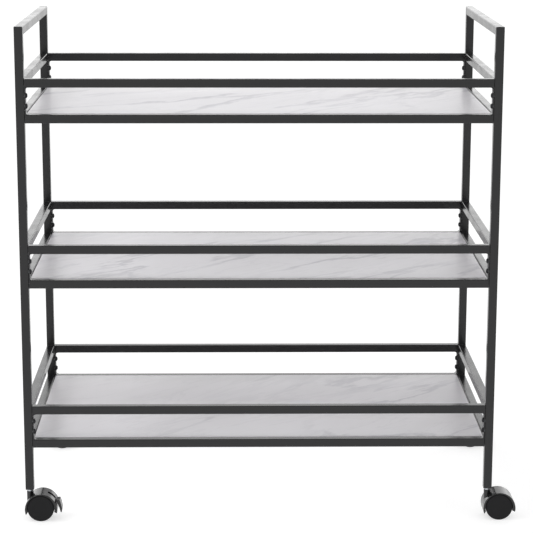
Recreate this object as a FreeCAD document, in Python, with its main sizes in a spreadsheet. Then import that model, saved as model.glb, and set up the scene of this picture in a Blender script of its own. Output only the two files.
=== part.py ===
import FreeCAD, Part

# Bar cart on wheels: two welded end frames of square steel tube, joined by bolted front and
# back rail panels on three tiers. A marble-look board drops inside each tier's shelf rails, and
# each post stands on a hooded twin-wheel castor.
#
# +X is the cart's right, +Y its back, +Z up. The origin lies on the floor, midway between the
# four castors' wheels. The castors trail towards +X, so the frame's middle is one trail to the
# left of the origin.

import math
import os
import re

import Sketcher
from FreeCAD import Placement, Rotation, Vector

# Driving dimensions, in millimetres: alias, value, meaning.
SIZES = (
    ("overall_width", 838, "outer face to outer face of the posts, left to right"),
    ("overall_depth", 440, "outer face to outer face of the posts, front to back"),
    ("overall_height", 883, "floor to the top of the handles"),
    ("tube_side", 15, "outer side of the square tube"),
    ("tube_wall", 1.2, "wall of the square tube"),
    ("tube_corner", 1.5, "outer corner radius of the square tube"),
    ("tier_count", 3, "number of tiers"),
    ("shelf_level", 134, "floor to the underside of the bottom shelf rails"),
    ("guard_gap", 46.7, "clear height between a shelf rail and its guard rail"),
    ("handle_gap", 74.3, "clear height between the top guard rail and the handle"),
    ("plate_thickness", 2, "thickness of a rail end plate"),
    ("plate_inset", 0.5, "how far an end plate's edges lie inside the tube's faces"),
    ("weld_radius", 4, "radius of the weld between an end plate and a rail"),
    ("bolt_spacing", 18.3, "distance between the two bolts of an end plate"),
    ("bolt_shank", 4.9, "diameter of a rail bolt's shank"),
    ("bolt_length", 11, "length of a rail bolt under its head"),
    ("bolt_head", 9.6, "diameter of a rail bolt's button head"),
    ("bolt_rise", 2.7, "height of a rail bolt's button head"),
    ("bolt_crown", 5, "diameter of the flat on top of a button head"),
    ("bolt_dome", 3.6, "radius of a button head's dome"),
    ("bolt_drive", 3, "width across flats of a rail bolt's hexagon socket"),
    ("bolt_drive_depth", 1.6, "depth of a rail bolt's hexagon socket"),
    ("bolt_play", 0.3, "radial play of a bolt in its end plate"),
    ("thread_play", 0.05, "radial play of a bolt in its rivet nut"),
    ("nut_body", 7, "diameter of a rivet nut's body"),
    ("nut_length", 10, "length of a rivet nut behind its flange"),
    ("nut_flange", 9, "diameter of a rivet nut's flange"),
    ("nut_seat", 0.5, "thickness of a rivet nut's flange, which sets the panels off the posts"),
    ("nut_bulge", 1, "how far a rivet nut bulges behind the tube's wall"),
    ("nut_bulge_length", 2.5, "length of a rivet nut's bulge"),
    ("nut_play", 0.05, "radial play of a rivet nut in the post"),
    ("board_thickness", 9, "thickness of a shelf board"),
    ("board_proud", 0.4, "how far a board stands above its shelf rails"),
    ("board_side_gap", 1.8, "gap between a board and the side shelf rails"),
    ("board_end_gap", 0.6, "gap between a board and the front and back shelf rails"),
    ("board_bevel", 0.8, "bevel along a board's edges"),
    ("tab_length", 26, "length of a shelf support tab along its rail"),
    ("tab_reach", 18, "how far a shelf support tab reaches under the board"),
    ("tab_thickness", 2, "thickness of a shelf support tab"),
    ("tab_margin", 90, "distance from a post to the middle of the nearest tab"),
    ("castor_trail", 20, "castor stem to wheel axle"),
    ("wheel_diameter", 48, "diameter of a castor wheel"),
    ("wheel_width", 14, "width of one castor wheel"),
    ("wheel_gap", 0.5, "gap between a castor wheel and the hood's web"),
    ("wheel_edge", 2, "radius of a wheel's tread edges"),
    ("wheel_rim", 3, "thickness of a wheel's rim"),
    ("wheel_disc", 2.5, "thickness of a wheel's outer disc"),
    ("wheel_dish", 0.4, "how far a wheel's disc lies behind its rim"),
    ("wheel_hub", 12, "diameter of a wheel's hub"),
    ("axle_diameter", 5, "diameter of a castor axle"),
    ("axle_play", 0.05, "radial play of a wheel on its axle"),
    ("axle_seat", 0.01, "radial play of an axle in the hood's web"),
    ("axle_end_gap", 0.8, "gap at each end of an axle"),
    ("hood_skirt", 5, "hood's outer radius less the wheel's radius"),
    ("hood_rise", 2.5, "how far the hood's top stands above the wheels"),
    ("well_play", 0.8, "gap between a wheel's tread and the well around it in the hood"),
    ("hood_shift", 0.7, "how far the hood's middle lies behind the axle"),
    ("hood_overhang", 0.2, "how far the hood reaches past a wheel's outer face"),
    ("hood_edge", 1.2, "radius along the hood's side edges"),
    ("boss_wall", 2, "wall of the hood's stem boss"),
    ("boss_rise", 1, "how far the stem boss stands above the hood's top"),
    ("boss_edge", 0.7, "radius around the top of the stem boss"),
    ("web_margin", 0.5, "how far the hood's web stands past the stem boss on each side"),
    ("stem_diameter", 8, "diameter of a castor stem"),
    ("stem_play", 0.05, "radial play of a stem in the hood and in its socket"),
    ("stem_depth", 22, "depth of the stem's bore in the hood"),
    ("stem_grip", 24, "length of stem inside its socket"),
    ("stem_tip", 0.8, "chamfer at a stem's ends"),
    ("collar_diameter", 10.4, "diameter of a stem's collar"),
    ("collar_height", 3.5, "height from the stem boss to the post's socket"),
    ("collar_gap", 0.3, "gap between a stem's collar and the boss"),
    ("socket_flange", 1.5, "thickness of a castor socket's flange"),
    ("socket_length", 28, "length of a castor socket inside the post"),
    ("socket_play", 0.1, "play between a castor socket and the inside of the post"),
    ("socket_edge", 0.8, "radius around a castor socket's lower edge"),
    ("slot_wall", 2, "wall each side of the brake slot in the hood's web"),
    ("lever_play", 0.9, "gap each side of a brake lever in its slot"),
    ("pedal_width", 20, "width of a brake lever's pedal"),
    ("pedal_edge", 0.8, "radius around a pedal's side edges"),
    ("pivot_diameter", 3, "diameter of a brake lever's trunnions"),
    ("pivot_play", 0.05, "radial play of the trunnions in the hood"),
    ("pivot_end_gap", 0.5, "gap between a trunnion's end and the wheels' side of the web"),
)

# Worked-out sizes, each a formula of the driving dimensions.
FRAME_X = "(-castor_trail)"
POST_X = "((overall_width - tube_side) / 2)"
POST_Y = "((overall_depth - tube_side) / 2)"
CLEAR_WIDTH = "(overall_width - 2 * tube_side)"
CLEAR_DEPTH = "(overall_depth - 2 * tube_side)"
PANEL_HEIGHT = "(2 * tube_side + guard_gap)"
GUARD_RISE = "(tube_side + guard_gap)"
TIER_RISE = f"(overall_height - tube_side - handle_gap - {PANEL_HEIGHT} - shelf_level)"
TIER_PITCH = f"({TIER_RISE} / (tier_count - 1))"
BOLT_LEVEL = "(shelf_level + tube_side + guard_gap / 2)"
RAIL_LENGTH = f"({CLEAR_WIDTH} - 2 * nut_seat - 2 * plate_thickness)"
BOARD_TOP = "(shelf_level + tube_side + board_proud)"
TAB_TOP = f"({BOARD_TOP} - board_thickness)"

WHEEL_R = "(wheel_diameter / 2)"
HOOD_R = f"({WHEEL_R} + hood_skirt)"
HOOD_Z = f"(wheel_diameter + hood_rise - {HOOD_R})"
BOSS_DIAMETER = "(stem_diameter + 2 * boss_wall)"
BOSS_TOP = "(wheel_diameter + hood_rise + boss_rise)"
WEB_WIDTH = f"({BOSS_DIAMETER} + 2 * web_margin)"
HOOD_WIDTH = f"({WEB_WIDTH} + 2 * (wheel_gap + wheel_width + hood_overhang))"
CASTOR_HEIGHT = f"({BOSS_TOP} + collar_height)"
POST_FOOT = f"({CASTOR_HEIGHT} + socket_flange)"
POST_LENGTH = f"(overall_height - {POST_FOOT})"
SLOT_WIDTH = f"({WEB_WIDTH} - 2 * slot_wall)"
LEVER_WIDTH = f"({SLOT_WIDTH} - 2 * lever_play)"

# Castor outlines as (offset from the hood's outer surface, angle from +X) about its middle.
HOOD_OPENING = ((-0.3, 199), (-6.4, 186), (-11.5, 225), (-12.5, -48), (-7.5, -7), (-0.3, -12))
BRAKE_SLOT = ((3, 67.5), (-9, 67.5), (-11.5, 45), (-8, 22), (3, 22))
LEVER_ARM = ((-3.2, 61), (-2.8, 50), (-2.8, 38), (2, 29), (1.6, 24), (-4.6, 26), (-7.6, 43), (-7.4, 61))
PEDAL = (
    (0.9, 29.5),
    (7.0, 24.5),
    (6.8, 15),
    (7.9, -2.5),
    (7.9, -12.5),
    (6.0, -13.5),
    (3.5, -2.5),
    (1.3, 15.5),
    (0.8, 22),
)
LEVER_PIVOT = (-5.3, 52)

LEFT, RIGHT = -1, 1
FRONT, BACK = -1, 1
SIDES = {"left": LEFT, "right": RIGHT}
ENDS = {"front": FRONT, "back": BACK}
TIERS = ("bottom", "middle", "top")
BRAKED_SIDE = "left"
HEXAGON = 6

# How near an edge lies to the place it is picked by, in millimetres.
HAIR = 0.01

DOC = FreeCAD.newDocument("BarCart")
SHEET = DOC.addObject("Spreadsheet::Sheet", "Sizes")
PIECES = []


def fill_sheet():
    """Write the driving dimensions into the sheet, each with its alias."""
    for row, (alias, size, meaning) in enumerate(SIZES, start=1):
        SHEET.set(f"A{row}", meaning)
        SHEET.set(f"B{row}", str(size))
        SHEET.setAlias(f"B{row}", alias)
    DOC.recompute()


def formula(text):
    """Give a formula that reads its aliases from the sheet."""
    return re.sub(r"[a-z]+(?:_[a-z]+)+", r"Sizes.\g<0>", text)


def value(text):
    """Work out a formula's present value."""
    return float(SHEET.evalExpression(formula(text)))


def polar(offset, angle):
    """Give a castor outline's point as two formulas, about the hood's middle."""
    return f"(({HOOD_R} + {offset}) * cos({angle}))", f"(({HOOD_R} + {offset}) * sin({angle}))"


def arc_through(start, end, radius):
    """Make the short arc from start to end; a negative radius turns clockwise."""
    chord = end - start
    half = chord.Length / 2
    reach = math.sqrt(max(radius * radius - half * half, 0.0))
    across = Vector(-chord.y, chord.x, 0).normalize()
    centre = (start + end) / 2 + across * math.copysign(reach, radius)
    first, last = (start, end) if radius > 0 else (end, start)
    begin = math.atan2(first.y - centre.y, first.x - centre.x)
    finish = math.atan2(last.y - centre.y, last.x - centre.x)
    circle = Part.Circle(centre, Vector(0, 0, 1), abs(radius))
    return Part.ArcOfCircle(circle, begin, finish)


def outline(sketch, points, arcs=None):
    """Draw a closed outline; arcs gives a side's radius formula and its turn, by side number."""
    arcs = arcs or {}
    spots = [Vector(value(x), value(y), 0) for x, y in points]
    ends = []
    for side, start in enumerate(spots):
        end = spots[(side + 1) % len(spots)]
        if side not in arcs:
            ends.append((sketch.addGeometry(Part.LineSegment(start, end)), 1, 2))
            continue
        radius, turn = arcs[side]
        index = sketch.addGeometry(arc_through(start, end, turn * value(radius)))
        ends.append((index, 1, 2) if turn > 0 else (index, 2, 1))
        tie(sketch, Sketcher.Constraint("Radius", index, value(radius)), radius)
    for side, (x, y) in enumerate(points):
        index, first, last = ends[side]
        after, begin, _ = ends[(side + 1) % len(points)]
        tie(sketch, Sketcher.Constraint("DistanceX", -1, 1, index, first, value(x)), x)
        tie(sketch, Sketcher.Constraint("DistanceY", -1, 1, index, first, value(y)), y)
        sketch.addConstraint(Sketcher.Constraint("Coincident", index, last, after, begin))


def tie(sketch, constraint, text):
    """Add a constraint whose value follows a formula."""
    index = sketch.addConstraint(constraint)
    sketch.setExpression(f"Constraints[{index}]", formula(text))


def circle(sketch, x, y, diameter):
    """Draw a circle of a given diameter about a point."""
    centre = Vector(value(x), value(y), 0)
    ring = Part.Circle(centre, Vector(0, 0, 1), value(diameter) / 2)
    index = sketch.addGeometry(ring)
    tie(sketch, Sketcher.Constraint("DistanceX", -1, 1, index, 3, centre.x), x)
    tie(sketch, Sketcher.Constraint("DistanceY", -1, 1, index, 3, centre.y), y)
    tie(sketch, Sketcher.Constraint("Diameter", index, value(diameter)), diameter)


def rectangle(sketch, x, y, width, height):
    """Draw a rectangle about a point."""
    left, right = f"({x} - {width} / 2)", f"({x} + {width} / 2)"
    low, high = f"({y} - {height} / 2)", f"({y} + {height} / 2)"
    outline(sketch, ((left, low), (right, low), (right, high), (left, high)))


def rounded_square(sketch, side, radius, x="0", y="0"):
    """Draw a square about a point, with rounded corners."""
    edge, straight = f"({side} / 2)", f"({side} / 2 - {radius})"
    points = (
        (f"({x} - {straight})", f"({y} - {edge})"),
        (f"({x} + {straight})", f"({y} - {edge})"),
        (f"({x} + {edge})", f"({y} - {straight})"),
        (f"({x} + {edge})", f"({y} + {straight})"),
        (f"({x} + {straight})", f"({y} + {edge})"),
        (f"({x} - {straight})", f"({y} + {edge})"),
        (f"({x} - {edge})", f"({y} + {straight})"),
        (f"({x} - {edge})", f"({y} - {straight})"),
    )
    outline(sketch, points, {corner: (radius, 1) for corner in (1, 3, 5, 7)})


def tube_section(sketch):
    """Draw the square tube's section about the sketch's origin."""
    rounded_square(sketch, "tube_side", "tube_corner")
    rectangle(sketch, "0", "0", "(tube_side - 2 * tube_wall)", "(tube_side - 2 * tube_wall)")


class Piece:
    """One sub-part: a body with its own sketches and features, placed in the cart's frame."""

    def __init__(self, label):
        self.body = DOC.addObject("PartDesign::Body", label)
        self.body.Label = label
        PIECES.append(self.body)

    def datum(self, role):
        """Find one of the body's own origin planes or axes."""
        return next(item for item in self.body.Origin.OriginFeatures if item.Role == role)

    def sketch(self, plane, x="0", y="0", z="0"):
        """Start a sketch on an origin plane, shifted along the sketch's own axes."""
        sketch = self.body.newObject("Sketcher::SketchObject", "Sketch")
        sketch.AttachmentSupport = [(self.datum(plane), "")]
        sketch.MapMode = "FlatFace"
        for axis, text in zip("xyz", (x, y, z)):
            sketch.setExpression(f"AttachmentOffset.Base.{axis}", formula(text))
        return sketch

    def feature(self, kind, sketch, length, symmetric=False, reverse=False):
        """Extrude a sketch as a pad or a pocket."""
        feature = self.body.newObject(f"PartDesign::{kind}", kind)
        feature.Profile = sketch
        feature.SideType = "Symmetric" if symmetric else "One side"
        feature.Reversed = reverse
        feature.setExpression("Length", formula(length))
        return feature

    def pad(self, sketch, length, symmetric=False, reverse=False):
        """Add a sketch's extrusion to the body."""
        return self.feature("Pad", sketch, length, symmetric, reverse)

    def pocket(self, sketch, length, symmetric=False, reverse=False):
        """Cut a sketch's extrusion from the body, and make sure that it cut something."""
        DOC.recompute()
        before = self.body.Shape.Volume
        feature = self.feature("Pocket", sketch, length, symmetric, reverse)
        DOC.recompute()
        if self.body.Shape.Volume >= before:
            raise ValueError(f"a pocket of {self.body.Label} cuts nothing")
        return feature

    def revolve(self, sketch, axis):
        """Turn a sketch through a full circle about its own horizontal or vertical axis."""
        feature = self.body.newObject("PartDesign::Revolution", "Revolution")
        feature.Profile = sketch
        feature.ReferenceAxis = (sketch, [axis])
        return feature

    def dress(self, kind, size_name, size, wanted):
        """Fillet or chamfer the edges of the last feature that pass a test."""
        DOC.recompute()
        base = self.body.Tip
        names = [f"Edge{n}" for n, edge in enumerate(base.Shape.Edges, start=1) if wanted(edge)]
        if not names:
            raise ValueError(f"{self.body.Label} has no edge to dress")
        feature = self.body.newObject(f"PartDesign::{kind}", kind)
        feature.Base = (base, names)
        feature.setExpression(size_name, formula(size))

    def fillet(self, radius, wanted):
        """Round the edges that pass a test."""
        self.dress("Fillet", "Radius", radius, wanted)

    def chamfer(self, size, wanted):
        """Bevel the edges that pass a test."""
        self.dress("Chamfer", "Size", size, wanted)

    def repeat(self, datum, count, length):
        """Repeat the whole body along one of its origin axes or across one of its planes."""
        pattern = self.body.newObject("PartDesign::LinearPattern", "Pattern")
        pattern.TransformMode = "Whole shape"
        pattern.Direction = (self.datum(datum), [""])
        pattern.setExpression("Occurrences", formula(count))
        pattern.setExpression("Length", formula(length))
        self.body.Tip = pattern

    def mirror(self, plane, feature=None):
        """Mirror the whole body, or one of its features, in an origin plane."""
        mirrored = self.body.newObject("PartDesign::Mirrored", "Mirrored")
        if feature:
            mirrored.Originals = [feature]
        else:
            mirrored.TransformMode = "Whole shape"
        mirrored.MirrorPlane = (self.datum(plane), [""])
        self.body.Tip = mirrored

    def place(self, x="0", y="0", z="0", turn=0.0):
        """Put the body in the cart's frame, turned about +Z by an angle in degrees."""
        self.body.Placement = Placement(Vector(), Rotation(Vector(0, 0, 1), turn))
        for axis, text in zip("xyz", (x, y, z)):
            self.body.setExpression(f"Placement.Base.{axis}", formula(text))


# ---- Frame -------------------------------------------------------------------------------------


def build_post(side, end):
    """Build a corner post: tube, mitred into the handle, with holes for its rivet nuts."""
    piece = Piece(f"{end}_{side}_post")
    section = piece.sketch("XY_Plane")
    tube_section(section)
    piece.pad(section, POST_LENGTH)
    mitre = piece.sketch("YZ_Plane")
    outer, inner = f"({ENDS[end]} * tube_side / 2)", f"({-ENDS[end]} * 3 * tube_side / 2)"
    low = f"({POST_LENGTH} - 2 * tube_side)"
    outline(mitre, ((outer, POST_LENGTH), (inner, low), (inner, POST_LENGTH)))
    piece.pocket(mitre, "(2 * tube_side)", symmetric=True)
    holes = piece.sketch("YZ_Plane")
    for tier in range(len(TIERS)):
        for half in (-1, 1):
            level = f"({BOLT_LEVEL} - {POST_FOOT} + {tier} * {TIER_PITCH} + {half} * bolt_spacing / 2)"
            circle(holes, "0", level, "(nut_body + 2 * nut_play)")
    piece.pocket(holes, "tube_side", reverse=side == "left")
    piece.place(f"({FRAME_X} + {SIDES[side]} * {POST_X})", f"({ENDS[end]} * {POST_Y})", POST_FOOT)


def build_handle(side):
    """Build the bar across the top of an end frame, mitred onto both posts."""
    piece = Piece(f"{side}_handle_bar")
    section = piece.sketch("XZ_Plane")
    tube_section(section)
    piece.pad(section, "overall_depth", symmetric=True)
    mitres = piece.sketch("YZ_Plane")
    for sign in (FRONT, BACK):
        tip = f"({sign} * overall_depth / 2)"
        inner = f"({sign} * (overall_depth / 2 - 2 * tube_side))"
        low = "(-3 * tube_side / 2)"
        outline(mitres, ((tip, "(tube_side / 2)"), (inner, low), (tip, low)))
    piece.pocket(mitres, "(2 * tube_side)", symmetric=True)
    piece.place(f"({FRAME_X} + {SIDES[side]} * {POST_X})", "0", "(overall_height - tube_side / 2)")


def rail_levels():
    """Give each tier's shelf rail and guard rail: a name and the height of the tube's middle."""
    for number, tier in enumerate(TIERS):
        shelf = f"(shelf_level + {number} * {TIER_PITCH} + tube_side / 2)"
        yield f"{tier}_shelf_rail", shelf
        yield f"{tier}_guard_rail", f"({shelf} + {GUARD_RISE})"


def build_side_rail(side, name, level):
    """Build a rail welded between the front and back post of one end."""
    piece = Piece(f"{side}_{name}")
    section = piece.sketch("XZ_Plane")
    tube_section(section)
    piece.pad(section, CLEAR_DEPTH, symmetric=True)
    piece.place(f"({FRAME_X} + {SIDES[side]} * {POST_X})", "0", level)


def build_long_rail(end, name, level):
    """Build a front or back rail, which spans the two end plates."""
    piece = Piece(f"{end}_{name}")
    section = piece.sketch("YZ_Plane")
    tube_section(section)
    piece.pad(section, RAIL_LENGTH, symmetric=True)
    piece.place(FRAME_X, f"({ENDS[end]} * {POST_Y})", level)


def repeat_at_corners(piece):
    """Repeat the bottom, front, left piece on each tier, at the back and at the right."""
    piece.repeat("XY_Plane", "tier_count", TIER_RISE)
    piece.repeat("Y_Axis", "2", f"(2 * {POST_Y})")
    piece.mirror("YZ_Plane")
    piece.place(FRAME_X)


def build_end_plates():
    """Build the plates that join a guard rail to its shelf rail, with the welds at the rails."""
    piece = Piece("rail_end_plates")
    side = piece.sketch("XZ_Plane", x=f"(-{CLEAR_WIDTH} / 2 + nut_seat)", y="shelf_level", z=POST_Y)
    shelf, guard = "tube_side", "(tube_side + guard_gap)"
    weld = "(plate_thickness + weld_radius)"
    points = (
        ("0", "0"),
        ("plate_thickness", "0"),
        ("plate_thickness", shelf),
        (weld, shelf),
        ("plate_thickness", f"({shelf} + weld_radius)"),
        ("plate_thickness", f"({guard} - weld_radius)"),
        (weld, guard),
        ("plate_thickness", guard),
        ("plate_thickness", PANEL_HEIGHT),
        ("0", PANEL_HEIGHT),
    )
    outline(side, points, {3: ("weld_radius", -1), 5: ("weld_radius", -1)})
    piece.pad(side, "(tube_side - 2 * plate_inset)", symmetric=True)
    holes = piece.sketch("YZ_Plane", x=f"(-{POST_Y})", y=BOLT_LEVEL, z=f"(-{CLEAR_WIDTH} / 2)")
    for half in (-1, 1):
        circle(holes, "0", f"({half} * bolt_spacing / 2)", "(bolt_shank + 2 * bolt_play)")
    piece.pocket(holes, "(nut_seat + plate_thickness)", reverse=True)
    repeat_at_corners(piece)


def bolt_sketch(piece):
    """Start a sketch whose horizontal axis is the lowest bolt's, with the post's face at zero."""
    level = f"({BOLT_LEVEL} - bolt_spacing / 2)"
    return piece.sketch("XZ_Plane", x=f"(-{CLEAR_WIDTH} / 2)", y=level, z=POST_Y)


def build_bolts():
    """Build the button-head bolts that hold the rail panels to the posts."""
    piece = Piece("rail_bolts")
    profile = bolt_sketch(piece)
    seat = "(nut_seat + plate_thickness)"
    tip, crown = f"({seat} - bolt_length)", f"({seat} + bolt_rise)"
    points = (
        (tip, "0"),
        (tip, "(bolt_shank / 2)"),
        (seat, "(bolt_shank / 2)"),
        (seat, "(bolt_head / 2)"),
        (crown, "(bolt_crown / 2)"),
        (crown, "0"),
    )
    outline(profile, points, {3: ("bolt_dome", -1)})
    piece.revolve(profile, "H_Axis")
    drive = piece.sketch(
        "YZ_Plane",
        x=f"(-{POST_Y})",
        y=f"({BOLT_LEVEL} - bolt_spacing / 2)",
        z=f"(-{CLEAR_WIDTH} / 2 + {crown})",
    )
    corner = "(bolt_drive / sqrt(3))"
    turns = [n * 360 / HEXAGON for n in range(HEXAGON)]
    corners = [(f"({corner} * cos({turn}))", f"({corner} * sin({turn}))") for turn in turns]
    outline(drive, corners)
    piece.pocket(drive, "bolt_drive_depth")
    piece.repeat("XY_Plane", "2", "bolt_spacing")
    repeat_at_corners(piece)


def build_rivet_nuts():
    """Build the rivet nuts set in the posts, whose flanges carry the end plates."""
    piece = Piece("rivet_nuts")
    profile = bolt_sketch(piece)
    bore, body = "(bolt_shank / 2 + thread_play)", "(nut_body / 2)"
    bulge = f"({body} + nut_bulge)"
    points = (
        ("(-nut_length)", bore),
        ("(-nut_length)", body),
        ("(-tube_wall - nut_bulge_length)", body),
        ("(-tube_wall - nut_bulge_length / 2)", bulge),
        ("(-tube_wall)", bulge),
        ("(-tube_wall)", body),
        ("0", body),
        ("0", "(nut_flange / 2)"),
        ("nut_seat", "(nut_flange / 2)"),
        ("nut_seat", bore),
    )
    outline(profile, points)
    piece.revolve(profile, "H_Axis")
    piece.repeat("XY_Plane", "2", "bolt_spacing")
    repeat_at_corners(piece)


# ---- Shelves -----------------------------------------------------------------------------------


def build_board(number, tier):
    """Build a tier's shelf board, bevelled all round, which drops inside the shelf rails."""
    piece = Piece(f"{tier}_shelf_board")
    plan = piece.sketch("XY_Plane")
    width, depth = f"({CLEAR_WIDTH} - 2 * board_side_gap)", f"({CLEAR_DEPTH} - 2 * board_end_gap)"
    rectangle(plan, "0", "0", width, depth)
    piece.pad(plan, "board_thickness", reverse=True)
    piece.chamfer("board_bevel", lambda edge: edge.BoundBox.ZLength < HAIR)
    piece.place(FRAME_X, "0", f"({BOARD_TOP} + {number} * {TIER_PITCH})")


def build_support_tabs():
    """Build the tabs welded to the shelf rails' inner faces, which the boards lie on."""
    piece = Piece("shelf_support_tabs")
    plan = piece.sketch("XY_Plane", z=TAB_TOP)
    reach_x, reach_y = f"(({CLEAR_WIDTH} - tab_reach) / 2)", f"(({CLEAR_DEPTH} - tab_reach) / 2)"
    outer = f"({CLEAR_WIDTH} / 2 - tab_margin)"
    for sign in (-1, 1):
        rectangle(plan, f"({sign} * {reach_x})", "0", "tab_reach", "tab_length")
        for step in (-1, 0, 1):
            x, y = f"({step} * {outer})", f"({sign} * {reach_y})"
            rectangle(plan, x, y, "tab_length", "tab_reach")
    piece.pad(plan, "tab_thickness", reverse=True)
    piece.repeat("XY_Plane", "tier_count", TIER_RISE)
    piece.place(FRAME_X)


# ---- Castors -----------------------------------------------------------------------------------


def build_sockets():
    """Build the plastic sockets in the posts' feet, which take the castor stems."""
    piece = Piece("castor_sockets")
    corners = [(f"({side} * {POST_X})", f"({end} * {POST_Y})") for side in (-1, 1) for end in (-1, 1)]
    flange = piece.sketch("XY_Plane", z=POST_FOOT)
    plug = piece.sketch("XY_Plane", z=POST_FOOT)
    bore = piece.sketch("XY_Plane", z=f"({POST_FOOT} + socket_length)")
    for x, y in corners:
        rounded_square(flange, "tube_side", "tube_corner", x, y)
        rounded_square(plug, "(tube_side - 2 * tube_wall - 2 * socket_play)", "tube_corner", x, y)
        circle(bore, x, y, "(stem_diameter + 2 * stem_play)")
    piece.pad(flange, "socket_flange", reverse=True)
    low = value(CASTOR_HEIGHT)
    piece.fillet("socket_edge", lambda edge: edge.BoundBox.ZMax < low + HAIR)
    piece.pad(plug, "socket_length")
    piece.pocket(bore, "(socket_length + 2 * socket_flange)")
    piece.place(FRAME_X)


def build_stem(name, x, y):
    """Build a castor's steel stem with its collar, which stays in the post."""
    piece = Piece(f"{name}_stem")
    profile = piece.sketch("XZ_Plane")
    pin, tip = "(stem_diameter / 2)", "(stem_diameter / 2 - stem_tip)"
    foot, head = f"({BOSS_TOP} - stem_depth + collar_gap)", f"({CASTOR_HEIGHT} + stem_grip)"
    collar_low = f"({BOSS_TOP} + collar_gap)"
    points = (
        ("0", foot),
        (tip, foot),
        (pin, f"({foot} + stem_tip)"),
        (pin, collar_low),
        ("(collar_diameter / 2)", collar_low),
        ("(collar_diameter / 2)", CASTOR_HEIGHT),
        (pin, CASTOR_HEIGHT),
        (pin, f"({head} - stem_tip)"),
        (tip, head),
        ("0", head),
    )
    outline(profile, points)
    piece.revolve(profile, "V_Axis")
    piece.place(f"({x} - castor_trail)", y)


def build_hood(name, x, y, braked):
    """Build a castor's hood: a shell over both wheels, the web between them and the stem boss."""
    piece = Piece(f"{name}_hood")
    middle = {"x": "hood_shift", "y": HOOD_Z}
    drum = piece.sketch("XZ_Plane", **middle)
    circle(drum, "0", "0", f"(2 * {HOOD_R})")
    piece.pad(drum, HOOD_WIDTH, symmetric=True)
    piece.fillet("hood_edge", lambda edge: edge.BoundBox.YLength < HAIR)
    opening = piece.sketch("XZ_Plane", **middle)
    low, far = f"(-2 * {HOOD_R})", f"(2 * {HOOD_R})"
    edge_points = [polar(*point) for point in HOOD_OPENING]
    left_end = (f"(-{far})", edge_points[0][1])
    right_end = (far, edge_points[-1][1])
    outline(opening, [left_end, *edge_points, right_end, (far, low), (f"(-{far})", low)])
    piece.pocket(opening, HOOD_WIDTH, symmetric=True)
    well = piece.sketch("XZ_Plane", y=WHEEL_R, z=f"({HOOD_WIDTH} / 2)")
    circle(well, "0", "0", "(wheel_diameter + 2 * well_play)")
    cut = piece.pocket(well, f"(({HOOD_WIDTH} - {WEB_WIDTH}) / 2)")
    piece.mirror("XZ_Plane", cut)
    add_stem_boss(piece)
    axle = piece.sketch("XZ_Plane", y=WHEEL_R)
    circle(axle, "0", "0", "(axle_diameter + 2 * axle_seat)")
    piece.pocket(axle, WEB_WIDTH, symmetric=True)
    if braked:
        cut_brake_slot(piece, middle)
    piece.place(x, y)


def add_stem_boss(piece):
    """Add the boss around the stem to a hood, and bore it."""
    boss = piece.sketch("XY_Plane", x="(-castor_trail)", z=HOOD_Z)
    circle(boss, "0", "0", BOSS_DIAMETER)
    piece.pad(boss, f"({BOSS_TOP} - {HOOD_Z})")
    top = value(BOSS_TOP)
    piece.fillet("boss_edge", lambda edge: edge.BoundBox.ZMin > top - HAIR)
    bore = piece.sketch("XY_Plane", x="(-castor_trail)", z=BOSS_TOP)
    circle(bore, "0", "0", "(stem_diameter + 2 * stem_play)")
    piece.pocket(bore, "stem_depth")


def cut_brake_slot(piece, middle):
    """Cut the slot that a brake lever lies in, and the holes for its trunnions."""
    slot = piece.sketch("XZ_Plane", **middle)
    outline(slot, [polar(*point) for point in BRAKE_SLOT])
    piece.pocket(slot, SLOT_WIDTH, symmetric=True)
    pivot = piece.sketch("XZ_Plane", **middle)
    circle(pivot, *polar(*LEVER_PIVOT), "(pivot_diameter + 2 * pivot_play)")
    piece.pocket(pivot, WEB_WIDTH, symmetric=True)


def build_brake_lever(name, x, y):
    """Build a brake lever in one moulding: arm, pedal and the two trunnions it rocks on."""
    piece = Piece(f"{name}_brake_lever")
    middle = {"x": "hood_shift", "y": HOOD_Z}
    pedal = piece.sketch("XZ_Plane", **middle)
    outline(pedal, [polar(*point) for point in PEDAL])
    piece.pad(pedal, "pedal_width", symmetric=True)
    face = value("pedal_width") / 2 - HAIR
    piece.fillet("pedal_edge", lambda edge: max(abs(edge.BoundBox.YMin), abs(edge.BoundBox.YMax)) > face)
    arm = piece.sketch("XZ_Plane", **middle)
    outline(arm, [polar(*point) for point in LEVER_ARM])
    piece.pad(arm, LEVER_WIDTH, symmetric=True)
    pivot = piece.sketch("XZ_Plane", **middle)
    circle(pivot, *polar(*LEVER_PIVOT), "pivot_diameter")
    piece.pad(pivot, f"({WEB_WIDTH} - 2 * pivot_end_gap)", symmetric=True)
    piece.place(x, y)


def build_axle(name, x, y):
    """Build a castor's axle, seated in the hood's web."""
    piece = Piece(f"{name}_axle")
    section = piece.sketch("XZ_Plane")
    circle(section, "0", "0", "axle_diameter")
    reach = f"({WEB_WIDTH} / 2 + wheel_gap + wheel_width - wheel_disc - axle_end_gap)"
    piece.pad(section, f"(2 * {reach})", symmetric=True)
    piece.place(x, y, WHEEL_R)


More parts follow.
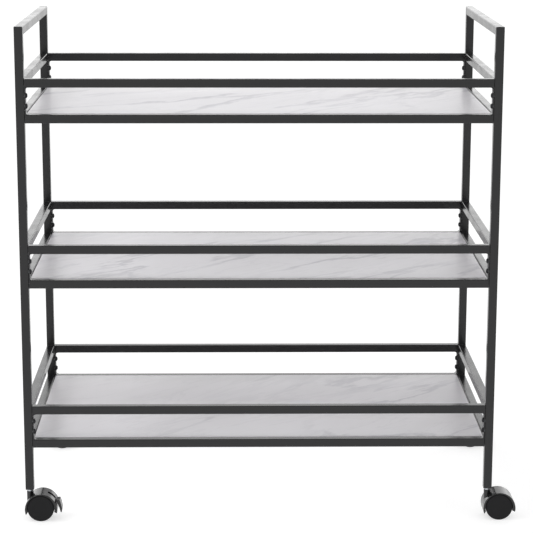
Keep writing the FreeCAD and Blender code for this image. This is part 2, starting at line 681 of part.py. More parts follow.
def build_wheel(label, x, y, outward):
    """Build a castor wheel: hub, disc and rim, open towards the hood's web."""
    piece = Piece(label)
    profile = piece.sketch("YZ_Plane")
    bore, hub = "(axle_diameter / 2 + axle_play)", "(wheel_hub / 2)"
    rim, floor = f"({WHEEL_R} - wheel_rim)", "(wheel_width - wheel_disc)"
    face = "(wheel_width - wheel_dish)"
    points = (
        ("0", bore),
        ("0", hub),
        (floor, hub),
        (floor, rim),
        ("0", rim),
        ("0", f"({WHEEL_R} - wheel_edge)"),
        ("wheel_edge", WHEEL_R),
        ("(wheel_width - wheel_edge)", WHEEL_R),
        ("wheel_width", f"({WHEEL_R} - wheel_edge)"),
        ("wheel_width", rim),
        (face, f"({rim} - wheel_dish)"),
        (face, "0"),
        (floor, "0"),
        (floor, bore),
    )
    outline(profile, points, {5: ("wheel_edge", -1), 7: ("wheel_edge", -1)})
    piece.revolve(profile, "H_Axis")
    start = f"({y} + {outward} * ({WEB_WIDTH} / 2 + wheel_gap))"
    piece.place(x, start, WHEEL_R, turn=0.0 if outward > 0 else 180.0)


def build_castor(side, end):
    """Build one castor: stem, hood, axle, two wheels and, at the braked side, a lever."""
    name = f"{end}_{side}_castor"
    x, y = f"({SIDES[side]} * {POST_X})", f"({ENDS[end]} * {POST_Y})"
    braked = side == BRAKED_SIDE
    build_stem(name, x, y)
    build_hood(name, x, y, braked)
    build_axle(name, x, y)
    build_wheel(f"{name}_outer_wheel", x, y, ENDS[end])
    build_wheel(f"{name}_inner_wheel", x, y, -ENDS[end])
    if braked:
        build_brake_lever(name, x, y)


# ---- Cart --------------------------------------------------------------------------------------


def build_cart():
    """Build every sub-part of the cart."""
    for side in SIDES:
        build_handle(side)
        for name, level in rail_levels():
            build_side_rail(side, name, level)
        for end in ENDS:
            build_post(side, end)
            build_castor(side, end)
    for end in ENDS:
        for name, level in rail_levels():
            build_long_rail(end, name, level)
    build_end_plates()
    build_bolts()
    build_rivet_nuts()
    for number, tier in enumerate(TIERS):
        build_board(number, tier)
    build_support_tabs()
    build_sockets()
    DOC.recompute()


def check_cart():
    """Stop on any failed object and on any sub-part without a whole, valid shape."""
    for item in DOC.Objects:
        if "Invalid" in item.State or "Error" in item.State:
            raise ValueError(f"{item.Name} failed: {item.State}")
    for body in PIECES:
        if body.Shape.isNull() or not body.Shape.isValid() or not body.Shape.Solids:
            raise ValueError(f"{body.Label} has no valid solid")


def write_cart():
    """Write each sub-part to its own STEP file."""
    os.makedirs("parts", exist_ok=True)
    for body in PIECES:
        body.Shape.exportStep(f"parts/{body.Label}.step")


fill_sheet()
build_cart()
check_cart()
write_cart()
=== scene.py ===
"""Bar cart on wheels: its finishes, its welds and the plain studio it stands in.

The CAD model gives every part of the cart. This script dresses each part in the finish that the
real one has, adds the weld beads of the end frames, and sets up the floor, light and camera.
Lengths are in metres unless a name ends in _mm.
"""

import logging
import math
from abc import ABC, abstractmethod
from collections.abc import Iterable, Mapping
from dataclasses import dataclass, field
from enum import Enum
from typing import Any

import bmesh
import bpy
from mathutils import Euler, Matrix, Vector

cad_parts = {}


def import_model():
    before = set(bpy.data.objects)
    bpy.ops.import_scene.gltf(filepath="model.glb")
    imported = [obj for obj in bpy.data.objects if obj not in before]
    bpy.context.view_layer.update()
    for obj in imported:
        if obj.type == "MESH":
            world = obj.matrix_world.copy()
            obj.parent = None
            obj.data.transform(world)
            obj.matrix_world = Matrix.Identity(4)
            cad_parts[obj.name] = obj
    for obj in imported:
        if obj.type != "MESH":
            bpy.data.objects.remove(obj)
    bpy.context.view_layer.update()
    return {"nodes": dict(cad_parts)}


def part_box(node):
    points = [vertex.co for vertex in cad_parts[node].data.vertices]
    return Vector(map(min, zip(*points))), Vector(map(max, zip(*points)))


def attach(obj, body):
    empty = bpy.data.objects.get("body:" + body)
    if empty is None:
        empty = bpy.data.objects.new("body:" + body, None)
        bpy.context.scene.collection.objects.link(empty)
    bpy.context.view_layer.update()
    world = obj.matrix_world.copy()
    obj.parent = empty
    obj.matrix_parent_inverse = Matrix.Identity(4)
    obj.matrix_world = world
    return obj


LOG = logging.getLogger("bar_cart")
FRAME_BODY = "frame"
WHITE = "#ffffff"
MM_PER_METRE = 1000.0
NOISE_MIDDLE = 0.5

# The mixing node's sockets for colours, which share their names with those for numbers.
SHARE, FIRST, SECOND, MIXED = 0, 6, 7, 2

# The sRGB curve: a straight foot, then a power of the raised and rescaled value.
FOOT_END, FOOT_SLOPE, CURVE_RAISE, CURVE_POWER = 0.04045, 12.92, 0.055, 2.4


class Kind(Enum):
    """The kinds of node that the finishes and the surround are made of."""

    AXES = "ShaderNodeSeparateXYZ"
    BACKGROUND = "ShaderNodeBackground"
    BUMP = "ShaderNodeBump"
    COORDINATES = "ShaderNodeTexCoord"
    GEOMETRY = "ShaderNodeNewGeometry"
    MAPPING = "ShaderNodeMapping"
    MATH = "ShaderNodeMath"
    MIX = "ShaderNodeMix"
    NOISE = "ShaderNodeTexNoise"
    OUTPUT = "ShaderNodeOutputMaterial"
    RANGE = "ShaderNodeMapRange"
    SURFACE = "ShaderNodeBsdfPrincipled"
    WORLD = "ShaderNodeOutputWorld"


class Side(Enum):
    """The cart's two end frames."""

    LEFT = "left"
    RIGHT = "right"


class Tier(Enum):
    """The cart's three shelves."""

    BOTTOM = "bottom"
    MIDDLE = "middle"
    TOP = "top"


class Rail(Enum):
    """The two rails of each side of a tier."""

    SHELF = "shelf"
    GUARD = "guard"


def metres(length_mm: float) -> float:
    """Give a length in millimetres in metres."""
    return length_mm / MM_PER_METRE


def cycles_per_metre(spacing_mm: float) -> float:
    """Give the texture scale whose pattern repeats about every spacing_mm."""
    return MM_PER_METRE / spacing_mm


def linear(code: str) -> tuple[float, float, float, float]:
    """Turn an sRGB hex colour to linear light.

    Args:
        code: The colour as six hex digits after a hash sign.

    Returns:
        Red, green, blue and an alpha of one, all linear.
    """
    channels = [value / 255 for value in bytes.fromhex(code[1:])]
    red, green, blue = (
        value / FOOT_SLOPE
        if value <= FOOT_END
        else ((value + CURVE_RAISE) / (1 + CURVE_RAISE)) ** CURVE_POWER
        for value in channels
    )
    return red, green, blue, 1.0


def add_node(
    tree: bpy.types.NodeTree,
    kind: Kind,
    inputs: Mapping[str | int, Any] | None = None,
    **settings: Any,
) -> bpy.types.bpy_prop_collection:
    """Add a node with its settings, input values and links.

    Args:
        tree: The node tree to add to.
        kind: The kind of node.
        inputs: Values for its input sockets; another node's output socket is linked.
        settings: The node's own attributes.

    Returns:
        The new node's output sockets.
    """
    node = tree.nodes.new(kind.value)
    for name, setting in settings.items():
        setattr(node, name, setting)
    for key, value in (inputs or {}).items():
        if isinstance(value, bpy.types.NodeSocket):
            tree.links.new(value, node.inputs[key])
        else:
            node.inputs[key].default_value = value
    return node.outputs


def span(low: float, high: float, start: float, end: float) -> dict[str, float]:
    """Name the four limits of a change of range.

    Args:
        low: The lowest value read.
        high: The highest value read.
        start: What the lowest becomes.
        end: What the highest becomes.

    Returns:
        The limits by socket name.
    """
    return {"From Min": low, "From Max": high, "To Min": start, "To Max": end}


# ---- Finishes ----------------------------------------------------------------------------------


@dataclass(frozen=True)
class Finish(ABC):
    """A surface finish."""

    name: str

    @abstractmethod
    def shade(self, tree: bpy.types.NodeTree) -> dict[str, Any]:
        """Add the finish's patterns; each kind of finish has its own.

        Args:
            tree: The material's node tree.

        Returns:
            Values and links for the surface shader's sockets.
        """

    def build(self) -> bpy.types.Material:
        """Build the material.

        Returns:
            The material, with its patterns, surface shader and output.
        """
        material = bpy.data.materials.new(self.name)
        material.use_nodes = True
        tree = material.node_tree
        tree.nodes.clear()
        surface = add_node(tree, Kind.SURFACE, self.shade(tree))
        add_node(tree, Kind.OUTPUT, {"Surface": surface["BSDF"]})
        return material


@dataclass(frozen=True)
class GrainedFinish(Finish):
    """A finish whose shade and gloss drift over it, with an even grain raised on top."""

    first: str
    second: str
    glossiest: float
    dullest: float
    drift_mm: float
    grain_mm: float
    grain_depth_mm: float
    grain_strength: float
    drift_detail: float = 3.0
    grain_detail: float = 2.0
    # The part of the drift's range over which the gloss changes.
    gloss_turn: tuple[float, float] = (0.3, 0.7)

    @abstractmethod
    def optics(self) -> dict[str, float]:
        """Give the shader values that are the same all over the surface."""

    def shade(self, tree: bpy.types.NodeTree) -> dict[str, Any]:
        """Add the drift of shade and gloss, and the grain.

        Args:
            tree: The material's node tree.

        Returns:
            Values and links for the surface shader's sockets.
        """
        place = add_node(tree, Kind.COORDINATES)["Object"]
        scale = cycles_per_metre(self.drift_mm)
        inputs = {"Vector": place, "Scale": scale, "Detail": self.drift_detail}
        drift = add_node(tree, Kind.NOISE, inputs)["Fac"]
        scale = cycles_per_metre(self.grain_mm)
        inputs = {"Vector": place, "Scale": scale, "Detail": self.grain_detail}
        grain = add_node(tree, Kind.NOISE, inputs)["Fac"]
        inputs = {SHARE: drift, FIRST: linear(self.first), SECOND: linear(self.second)}
        colour = add_node(tree, Kind.MIX, inputs, data_type="RGBA")[MIXED]
        inputs = {"Value": drift, **span(*self.gloss_turn, self.glossiest, self.dullest)}
        gloss = add_node(tree, Kind.RANGE, inputs, interpolation_type="SMOOTHSTEP")["Result"]
        depth = metres(self.grain_depth_mm)
        inputs = {"Height": grain, "Distance": depth, "Strength": self.grain_strength}
        normal = add_node(tree, Kind.BUMP, inputs)["Normal"]
        return {"Base Color": colour, "Roughness": gloss, "Normal": normal, **self.optics()}


@dataclass(frozen=True)
class PowderCoat(GrainedFinish):
    """Satin black polyester powder coat, sprayed and baked on steel tube."""

    # To the eye it is a soft charcoal black. A face turns pale only where it is seen edge on, and
    # the baked powder leaves a faint orange peel in the reflections.
    name: str = "satin_black_powder_coat"
    first: str = "#121213"
    second: str = "#18181a"
    glossiest: float = 0.2
    dullest: float = 0.26
    drift_mm: float = 45.0
    # Real orange peel is about 1 mm across; it is drawn wider so that it shows.
    grain_mm: float = 3.5
    grain_depth_mm: float = 0.02
    grain_strength: float = 0.12
    ior: float = 1.46

    def optics(self) -> dict[str, float]:
        """Give the coat's IOR."""
        return {"IOR": self.ior}


@dataclass(frozen=True)
class BlackenedSteel(GrainedFinish):
    """Blackened steel, forged and oiled, as button-head bolts are sold."""

    # To the eye it is a harder black than the paint round it, with small sharp glints on the
    # domes and a dark socket.
    name: str = "blackened_steel"
    first: str = "#2b2b2d"
    second: str = "#3f3f42"
    glossiest: float = 0.3
    dullest: float = 0.42
    drift_mm: float = 3.0
    # The oxide's grain is under 0.1 mm; it is drawn wider so that it shows.
    grain_mm: float = 1.5
    grain_depth_mm: float = 0.02
    grain_strength: float = 0.3

    def optics(self) -> dict[str, float]:
        """Make it metal."""
        return {"Metallic": 1.0}


@dataclass(frozen=True)
class ZincPlate(GrainedFinish):
    """Bright zinc, plated on turned steel."""

    # To the eye it is a pale, slightly blue metal ring between the post and the castor, with
    # soft cloudy patches where the plating bloomed.
    name: str = "bright_zinc_plate"
    first: str = "#c4c7cb"
    second: str = "#a3a6aa"
    glossiest: float = 0.22
    dullest: float = 0.36
    drift_mm: float = 4.0
    # Turning marks are finer than 0.2 mm; the grain is drawn wider so that it shows.
    grain_mm: float = 1.0
    grain_depth_mm: float = 0.01
    grain_strength: float = 0.2

    def optics(self) -> dict[str, float]:
        """Make it metal."""
        return {"Metallic": 1.0}


@dataclass(frozen=True)
class HoodNylon(GrainedFinish):
    """Black nylon, injection moulded in a polished tool."""

    # To the eye it is a deep black with a bright soft sheen along the hood's round top, and a
    # faint waviness where the nylon flowed.
    name: str = "glossy_moulded_nylon"
    first: str = "#0e0e0f"
    second: str = "#141415"
    glossiest: float = 0.14
    dullest: float = 0.2
    drift_mm: float = 14.0
    # The tool leaves a grain of about 0.2 mm; it is drawn wider so that it shows.
    grain_mm: float = 0.9
    grain_depth_mm: float = 0.02
    grain_strength: float = 0.25
    ior: float = 1.53
    shine: float = 0.5

    def optics(self) -> dict[str, float]:
        """Give the nylon's IOR and how much of its reflection the surface keeps."""
        return {"IOR": self.ior, "Specular IOR Level": self.shine}


@dataclass(frozen=True)
class WheelNylon(HoodNylon):
    """Black nylon with a matt filler, injection moulded in an etched tool."""

    # To the eye it is the darkest and dullest part of the cart. The etched faces of the wheels
    # trap more than half of what plain nylon reflects.
    name: str = "matt_moulded_nylon"
    first: str = "#09090b"
    second: str = "#0e0e10"
    glossiest: float = 0.4
    dullest: float = 0.5
    shine: float = 0.22


@dataclass(frozen=True)
class MarbleFoil(Finish):
    """Marble-look melamine foil, printed, then pressed on fibreboard and lightly glossy."""

    # To the eye it is a pale cool white with thin grey veins that run slantwise in long broken
    # streaks, soft grey clouds beside them, and blurred reflections. The underside is plain pale
    # backing paper.
    name: str = "marble_look_foil"
    ground: str = "#e0dee2"
    cloud: str = "#d8d6d9"
    vein: str = "#c0bec4"
    backing: str = "#dcdbdc"
    vein_turn_deg: float = 43.0
    vein_stretch: float = 3.4
    vein_mm: float = 190.0
    hairline_mm: float = 70.0
    cloud_mm: float = 260.0
    gap_mm: float = 130.0
    fleck_mm: float = 34.0
    # The part of each pattern's range over which it shows, and how much of it shows.
    cloud_turn: tuple[float, float] = (0.38, 0.66)
    gap_turn: tuple[float, float] = (0.42, 0.62)
    fleck_turn: tuple[float, float] = (0.35, 0.75)
    fleck_depth: float = 0.35
    least_vein: float = 0.15
    patch_detail: float = 5.0
    vein_width: float = 0.028
    vein_detail: float = 6.0
    vein_raggedness: float = 0.57
    vein_warp: float = 0.35
    hairline_width: float = 0.02
    hairline_depth: float = 0.18
    # How far down a face looks, as its normal's share along Z, where the backing begins.
    backing_turn: tuple[float, float] = (-0.9, -0.5)
    glossiest: float = 0.33
    dullest: float = 0.37
    # The press plate's texture is about 0.3 mm; it is drawn wider so that it shows.
    emboss_mm: float = 3.0
    emboss_depth_mm: float = 0.02
    emboss_detail: float = 3.0
    emboss_strength: float = 0.12
    ior: float = 1.45

    def streak_space(self, tree: bpy.types.NodeTree) -> bpy.types.NodeSocket:
        """Turn and stretch the board's own coordinates, so that patterns become slanting streaks.

        Args:
            tree: The material's node tree.

        Returns:
            Coordinates whose first axis runs along the veins.
        """
        place = add_node(tree, Kind.COORDINATES)["Object"]
        turn = (0.0, 0.0, math.radians(-self.vein_turn_deg))
        turned = add_node(tree, Kind.MAPPING, {"Vector": place, "Rotation": turn})["Vector"]
        stretch = (1.0 / self.vein_stretch, 1.0, 1.0)
        return add_node(tree, Kind.MAPPING, {"Vector": turned, "Scale": stretch})["Vector"]

    def veins(
        self, tree: bpy.types.NodeTree, streaks: bpy.types.NodeSocket, apart_mm: float, width: float
    ) -> bpy.types.NodeSocket:
        """Draw thin lines where a wandering pattern crosses its middle value.

        Args:
            tree: The material's node tree.
            streaks: Where to read the pattern.
            apart_mm: How far apart the veins are, about.
            width: How wide a vein is, as a share of the pattern's range.

        Returns:
            One on a vein and nought off it.
        """
        inputs = {
            "Vector": streaks,
            "Scale": cycles_per_metre(apart_mm),
            "Detail": self.vein_detail,
            "Roughness": self.vein_raggedness,
            "Distortion": self.vein_warp,
        }
        wander = add_node(tree, Kind.NOISE, inputs)["Fac"]
        inputs = {0: wander, 1: NOISE_MIDDLE}
        centred = add_node(tree, Kind.MATH, inputs, operation="SUBTRACT")["Value"]
        away = add_node(tree, Kind.MATH, {0: centred}, operation="ABSOLUTE")["Value"]
        inputs = {"Value": away, **span(0.0, width, 1.0, 0.0)}
        return add_node(tree, Kind.RANGE, inputs, interpolation_type="SMOOTHSTEP")["Result"]

    def patches(
        self,
        tree: bpy.types.NodeTree,
        streaks: bpy.types.NodeSocket,
        apart_mm: float,
        limits: dict[str, float],
    ) -> bpy.types.NodeSocket:
        """Draw soft patches drawn out along the veins.

        Args:
            tree: The material's node tree.
            streaks: Where to read the pattern.
            apart_mm: How far apart the patches are, about.
            limits: The range that the pattern is read in and the range that it becomes.

        Returns:
            The patches, in the second range.
        """
        scale = cycles_per_metre(apart_mm)
        inputs = {"Vector": streaks, "Scale": scale, "Detail": self.patch_detail}
        pattern = add_node(tree, Kind.NOISE, inputs)["Fac"]
        inputs = {"Value": pattern, **limits}
        return add_node(tree, Kind.RANGE, inputs, interpolation_type="SMOOTHSTEP")["Result"]

    def shade(self, tree: bpy.types.NodeTree) -> dict[str, Any]:
        """Add the printed marble, the plain underside and the pressed texture.

        Args:
            tree: The material's node tree.

        Returns:
            Values and links for the surface shader's sockets.
        """
        streaks = self.streak_space(tree)
        clouds = self.patches(tree, streaks, self.cloud_mm, span(*self.cloud_turn, 0.0, 1.0))
        limits = span(*self.fleck_turn, 0.0, self.fleck_depth)
        flecks = self.patches(tree, streaks, self.fleck_mm, limits)
        limits = span(*self.gap_turn, self.least_vein, 1.0)
        gaps = self.patches(tree, streaks, self.gap_mm, limits)
        main_veins = self.veins(tree, streaks, self.vein_mm, self.vein_width)
        hairlines = self.veins(tree, streaks, self.hairline_mm, self.hairline_width)
        inputs = {0: main_veins, 1: gaps}
        broken = add_node(tree, Kind.MATH, inputs, operation="MULTIPLY")["Value"]
        inputs = {0: hairlines, 1: self.hairline_depth}
        faint = add_node(tree, Kind.MATH, inputs, operation="MULTIPLY")["Value"]
        lines = add_node(tree, Kind.MATH, {0: broken, 1: faint}, operation="MAXIMUM")["Value"]

        normal = add_node(tree, Kind.GEOMETRY)["True Normal"]
        facing = add_node(tree, Kind.AXES, {"Vector": normal})["Z"]
        inputs = {"Value": facing, **span(*self.backing_turn, 1.0, 0.0)}
        underside = add_node(tree, Kind.RANGE, inputs)["Result"]

        colour = linear(self.ground)
        layers = (
            (clouds, self.cloud),
            (flecks, self.ground),
            (lines, self.vein),
            (underside, self.backing),
        )
        for share, code in layers:
            inputs = {SHARE: share, FIRST: colour, SECOND: linear(code)}
            colour = add_node(tree, Kind.MIX, inputs, data_type="RGBA")[MIXED]

        inputs = {"Value": clouds, "To Min": self.glossiest, "To Max": self.dullest}
        gloss = add_node(tree, Kind.RANGE, inputs)["Result"]
        place = add_node(tree, Kind.COORDINATES)["Object"]
        scale = cycles_per_metre(self.emboss_mm)
        inputs = {"Vector": place, "Scale": scale, "Detail": self.emboss_detail}
        emboss = add_node(tree, Kind.NOISE, inputs)["Fac"]
        depth = metres(self.emboss_depth_mm)
        inputs = {"Height": emboss, "Distance": depth, "Strength": self.emboss_strength}
        bumped = add_node(tree, Kind.BUMP, inputs)["Normal"]
        return {"Base Color": colour, "Roughness": gloss, "IOR": self.ior, "Normal": bumped}


@dataclass(frozen=True)
class StudioPaper(Finish):
    """Matt white paper, rolled out under the cart."""

    # To the eye it is an even white ground that takes only a faint soft shadow.
    name: str = "white_studio_paper"
    sheet: str = "#cccccc"
    fibre: str = "#c6c6c6"
    # Paper fibres are about 1 mm long; they are drawn longer, as faint flecks, so that they show.
    fibre_mm: float = 12.0
    fibre_detail: float = 3.0
    roughness: float = 0.9
    glow: float = 0.6

    def shade(self, tree: bpy.types.NodeTree) -> dict[str, Any]:
        """Add the paper's fibres and its glow, which stands for light from below.

        Args:
            tree: The material's node tree.

        Returns:
            Values and links for the surface shader's sockets.
        """
        place = add_node(tree, Kind.COORDINATES)["Object"]
        scale = cycles_per_metre(self.fibre_mm)
        inputs = {"Vector": place, "Scale": scale, "Detail": self.fibre_detail}
        fibres = add_node(tree, Kind.NOISE, inputs)["Fac"]
        inputs = {SHARE: fibres, FIRST: linear(self.sheet), SECOND: linear(self.fibre)}
        return {
            "Base Color": add_node(tree, Kind.MIX, inputs, data_type="RGBA")[MIXED],
            "Roughness": self.roughness,
            "Specular IOR Level": 0.0,
            "Emission Color": linear(WHITE),
            "Emission Strength": self.glow,
        }


# ---- Mesh helpers ------------------------------------------------------------------------------


@dataclass(frozen=True)
class Station:
    """One section of a swept bead: its middle, and the section's two directions."""

    middle: Vector
    outward: Vector
    along: Vector


def mesh_piece(
    name: str, form: bmesh.types.BMesh, material: bpy.types.Material
) -> bpy.types.Object:
    """Turn a bmesh to an object of the scene, smooth shaded.

    Args:
        name: The object's name.
        form: The mesh, which is freed.
        material: Its finish.

    Returns:
        The object.
    """
    mesh = bpy.data.meshes.new(name)
    form.to_mesh(mesh)
    form.free()
    for polygon in mesh.polygons:
        polygon.use_smooth = True
    mesh.materials.append(material)
    piece = bpy.data.objects.new(name, mesh)
    bpy.context.scene.collection.objects.link(piece)
    return piece


def sweep_ring(form: bmesh.types.BMesh, stations: list[Station], radius: float, sides: int) -> None:
    """Sweep a round section through stations that close in a ring.

    Args:
        form: The bmesh to add to.
        stations: The ring's sections in order.
        radius: The section's radius.
        sides: How many sides the section has.
    """
    turns = [math.tau * side / sides for side in range(sides)]
    outline = [(radius * math.cos(turn), radius * math.sin(turn)) for turn in turns]
    rings = [
        [form.verts.new(at.middle + at.outward * out + at.along * on) for out, on in outline]
        for at in stations
    ]
    for ring, after in zip(rings, rings[1:] + rings[:1]):
        for spot in range(sides):
            beside = (spot + 1) % sides
            form.faces.new((ring[spot], ring[beside], after[beside], after[spot]))


# ---- Sub-assemblies ----------------------------------------------------------------------------


@dataclass
class Parts:
    """The CAD model's parts, and the dressing of them."""

    nodes: dict[str, bpy.types.Object]
    dressed: set[str] = field(default_factory=set)

    def dress(self, names: Iterable[str], material: bpy.types.Material) -> list[str]:
        """Give parts a finish.

        Args:
            names: The parts' names.
            material: Their finish.

        Returns:
            The names, as a list.
        """
        listed = list(names)
        for name in listed:
            for material_slot in self.nodes[name].material_slots:
                material_slot.material = material
        self.dressed.update(listed)
        return listed

    def ending(self, *ends: str) -> list[str]:
        """List the parts whose names end in one of some words."""
        return sorted(name for name in self.nodes if name.endswith(ends))


@dataclass
class SteelFrame:
    """The welded end frames and the bolted rail panels."""

    parts: Parts
    tube_mm: float = 15.0
    # A power this low turns a bead's circle to a square with the tube's rounded corners, and the
    # second power gives the way out of that square.
    squareness: float = 0.22
    outward_power: int = 3
    bead_mm: float = 1.25
    bead_sink_mm: float = 0.85
    bead_steps: int = 192
    ripple_mm: float = 1.9
    ripple_height: float = 0.14
    seam_mm: float = 0.45
    seam_steps: int = 96
    # The share of a mitre's seam that stays under the paint.
    seam_sink: float = 0.7
    bead_sides: int = 8

    def square_spot(self, share: float, half_mm: float) -> tuple[Vector, Vector]:
        """Give a spot on a rounded square, and the way out of it.

        Args:
            share: How far round the square the spot is, from 0 to 1.
            half_mm: Half the square's side.

        Returns:
            The spot, and the outward direction, each with two coordinates.
        """
        turn = math.tau * share
        corner = Vector(
            math.copysign(abs(value) ** self.squareness, value)
            for value in (math.cos(turn), math.sin(turn))
        )
        outward = Vector(value**self.outward_power for value in corner).normalized()
        return corner * metres(half_mm), outward

    def rail_bead(self, form: bmesh.types.BMesh, joint: Vector) -> None:
        """Lay a rippled weld bead round the end of a side rail.

        Args:
            form: The bmesh to add to.
            joint: The middle of the joint between rail and post.
        """
        half = self.tube_mm / 2
        flush = 1 - self.bead_sink_mm / half
        way_round = 4 * self.tube_mm
        ripples = round(way_round / self.ripple_mm)
        stations = []
        for step in range(self.bead_steps):
            share = step / self.bead_steps
            spot, out = self.square_spot(share, half)
            swell = 1 + self.ripple_height * math.sin(math.tau * ripples * share)
            middle = joint + Vector((spot.x * flush, 0.0, spot.y))
            outward = Vector((out.x, 0.0, out.y)) * swell
            stations.append(Station(middle, outward, Vector((0.0, swell, 0.0))))
        sweep_ring(form, stations, metres(self.bead_mm), self.bead_sides)

    def mitre_seam(self, form: bmesh.types.BMesh, corner: Vector, inward: int) -> None:
        """Lay the ground weld line round a handle's mitre.

        Args:
            form: The bmesh to add to.
            corner: The middle of the mitre.
            inward: Which way along Y the handle runs from the corner.
        """
        half = self.tube_mm / 2 - self.seam_mm * self.seam_sink
        lean = Vector((0.0, inward, 1.0)).normalized()
        stations = []
        for step in range(self.seam_steps):
            spot, out = self.square_spot(step / self.seam_steps, half)
            middle = corner + Vector((spot.x, -inward * spot.y, spot.y))
            outward = Vector((out.x, -inward * out.y, out.y)).normalized()
            stations.append(Station(middle, outward, lean))
        sweep_ring(form, stations, metres(self.seam_mm), self.bead_sides)

    def lay_welds(self, paint: bpy.types.Material) -> str:
        """Lay the weld beads of both end frames as one piece.

        Args:
            paint: The frame's finish, which covers the welds too.

        Returns:
            The piece's name.
        """
        form = bmesh.new()
        rails = [
            f"{side.value}_{tier.value}_{rail.value}_rail"
            for side in Side
            for tier in Tier
            for rail in Rail
        ]
        for low, high in map(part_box, rails):
            middle = (low + high) / 2
            for end in (low.y, high.y):
                self.rail_bead(form, Vector((middle.x, end, middle.z)))
        reach = metres(self.tube_mm / 2)
        for low, high in (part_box(f"{side.value}_handle_bar") for side in Side):
            middle = (low + high) / 2
            self.mitre_seam(form, Vector((middle.x, low.y + reach, middle.z)), 1)
            self.mitre_seam(form, Vector((middle.x, high.y - reach, middle.z)), -1)
        bmesh.ops.recalc_face_normals(form, faces=form.faces)
        welds = mesh_piece("weld_beads", form, paint)
        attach(welds, FRAME_BODY)
        return welds.name

    def build(self) -> list[str]:
        """Dress the frame's parts and lay its welds.

        Returns:
            The names of the pieces.
        """
        paint = PowderCoat().build()
        painted = self.parts.ending("_post", "_handle_bar", "_rail", "_plates", "_tabs")
        return [
            *self.parts.dress(painted, paint),
            *self.parts.dress(["rail_bolts"], BlackenedSteel().build()),
            *self.parts.dress(["rivet_nuts"], ZincPlate(name="zinc_rivet_nuts").build()),
            self.lay_welds(paint),
        ]


@dataclass
class Shelves:
    """The marble-look boards."""

    parts: Parts

    def build(self) -> list[str]:
        """Dress the boards and list them."""
        return self.parts.dress(self.parts.ending("_shelf_board"), MarbleFoil().build())


@dataclass
class Castors:
    """The four twin-wheel castors and their sockets."""

    parts: Parts

    def build(self) -> list[str]:
        """Dress the castors' parts.

        Returns:
            The names of the parts.
        """
        hoods = self.parts.ending("_hood", "_brake_lever", "_sockets")
        return [
            *self.parts.dress(hoods, HoodNylon().build()),
            *self.parts.dress(self.parts.ending("_wheel"), WheelNylon().build()),
            *self.parts.dress(self.parts.ending("_stem", "_axle"), ZincPlate().build()),
        ]


# ---- Studio ------------------------------------------------------------------------------------


@dataclass(frozen=True)
class Softbox:
    """A square softbox that hangs at one point and faces another."""

    name: str
    at: tuple[float, float, float]
    aim: tuple[float, float, float]
    side: float
    watts: float

    def hang(self) -> str:
        """Hang the softbox.

        Returns:
            Its name.
        """
        lamp = bpy.data.lights.new(self.name, "AREA")
        lamp.size = self.side
        lamp.energy = self.watts
        holder = bpy.data.objects.new(self.name, lamp)
        holder.location = self.at
        facing = Vector(self.aim) - Vector(self.at)
        holder.rotation_euler = facing.to_track_quat("-Z", "Y").to_euler()
        bpy.context.scene.collection.objects.link(holder)
        return holder.name


@dataclass(frozen=True)
class Surround:
    """The soft white room round the cart, with a brighter low backdrop behind it."""

    room: float = 0.75
    backdrop: float = 1.1
    # Where the backdrop begins and is full, as a direction's share along Y.
    backdrop_turn: tuple[float, float] = (-0.8, 0.6)
    # Where the backdrop begins to fade upward and is gone, as a direction's share along Z.
    backdrop_top: tuple[float, float] = (0.05, 0.6)

    def light(self) -> str:
        """Light the scene from all round.

        Returns:
            The surround's name.
        """
        world = bpy.data.worlds.new("white_surround")
        world.use_nodes = True
        tree = world.node_tree
        tree.nodes.clear()
        way = add_node(tree, Kind.COORDINATES)["Generated"]
        axes = add_node(tree, Kind.AXES, {"Vector": way})
        inputs = {"Value": axes["Y"], **span(*self.backdrop_turn, 0.0, self.backdrop)}
        behind = add_node(tree, Kind.RANGE, inputs, interpolation_type="SMOOTHSTEP")["Result"]
        inputs = {"Value": axes["Z"], **span(*self.backdrop_top, 1.0, 0.0)}
        low = add_node(tree, Kind.RANGE, inputs, interpolation_type="SMOOTHSTEP")["Result"]
        inputs = {0: behind, 1: low, 2: self.room}
        strength = add_node(tree, Kind.MATH, inputs, operation="MULTIPLY_ADD")["Value"]
        inputs = {"Color": linear(WHITE), "Strength": strength}
        background = add_node(tree, Kind.BACKGROUND, inputs)["Background"]
        add_node(tree, Kind.WORLD, {"Surface": background})
        bpy.context.scene.world = world
        return world.name


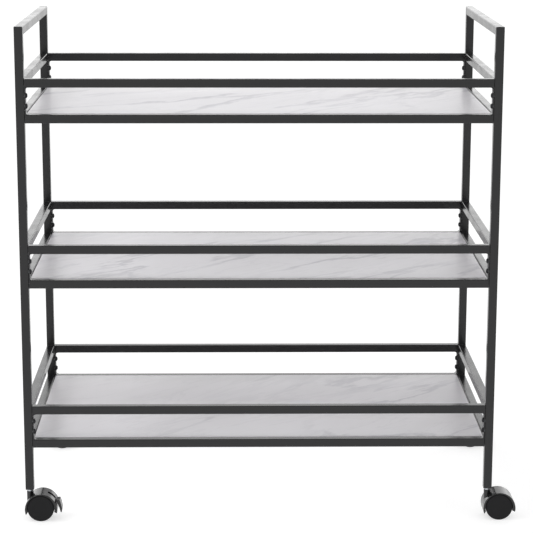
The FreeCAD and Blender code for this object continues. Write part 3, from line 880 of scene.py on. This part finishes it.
@dataclass(frozen=True)
class Camera:
    """The camera, at the front and a little above the top shelf."""

    at: tuple[float, float, float] = (-0.060, -3.451, 1.173)
    pitch_deg: float = 12.36
    yaw_deg: float = 0.93
    roll_deg: float = -0.12
    lens_mm: float = 127.6
    sensor_mm: float = 36.0

    def place(self) -> str:
        """Place the camera.

        Returns:
            Its name.
        """
        lens = bpy.data.cameras.new("camera")
        lens.sensor_width = self.sensor_mm
        lens.lens = self.lens_mm
        lens.dof.use_dof = False
        camera = bpy.data.objects.new("camera", lens)
        camera.location = self.at
        pitch, yaw, roll = (math.radians(a) for a in (self.pitch_deg, self.yaw_deg, self.roll_deg))
        aim = Euler((math.pi / 2 - pitch, 0.0, -yaw)).to_matrix() @ Matrix.Rotation(-roll, 3, "Z")
        camera.rotation_euler = aim.to_euler()
        bpy.context.scene.collection.objects.link(camera)
        bpy.context.scene.camera = camera
        return camera.name


@dataclass(frozen=True)
class Studio:
    """The floor, the light and the camera."""

    floor_half: float = 30.0
    floor_squares: int = 4
    key: Softbox = Softbox(
        name="key_softbox", at=(-2.2, -0.6, 2.6), aim=(0.0, 0.0, 0.3), side=1.0, watts=16.0
    )

    def lay_floor(self) -> str:
        """Lay the paper floor.

        Returns:
            Its name.
        """
        form = bmesh.new()
        squares = self.floor_squares
        bmesh.ops.create_grid(form, x_segments=squares, y_segments=squares, size=self.floor_half)
        floor = mesh_piece("studio_floor", form, StudioPaper().build())
        return floor.name

    def build(self) -> list[str]:
        """Set up the floor, the light and the camera.

        Returns:
            The names of what was set up.
        """
        bpy.context.scene.view_settings.view_transform = "Standard"
        return [self.lay_floor(), Surround().light(), self.key.hang(), Camera().place()]


def main() -> None:
    """Build the cart's looks and its studio, and report each piece."""
    logging.basicConfig(level=logging.INFO, format="%(message)s")
    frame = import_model()
    parts = Parts(frame["nodes"])
    for assembly in (SteelFrame(parts), Shelves(parts), Castors(parts), Studio()):
        for piece in assembly.build():
            LOG.info("%s: %s", type(assembly).__name__, piece)
    bare = sorted(set(parts.nodes) - parts.dressed)
    if bare:
        raise ValueError(f"these parts have no finish: {bare}")


if __name__ == "__main__":
    main()
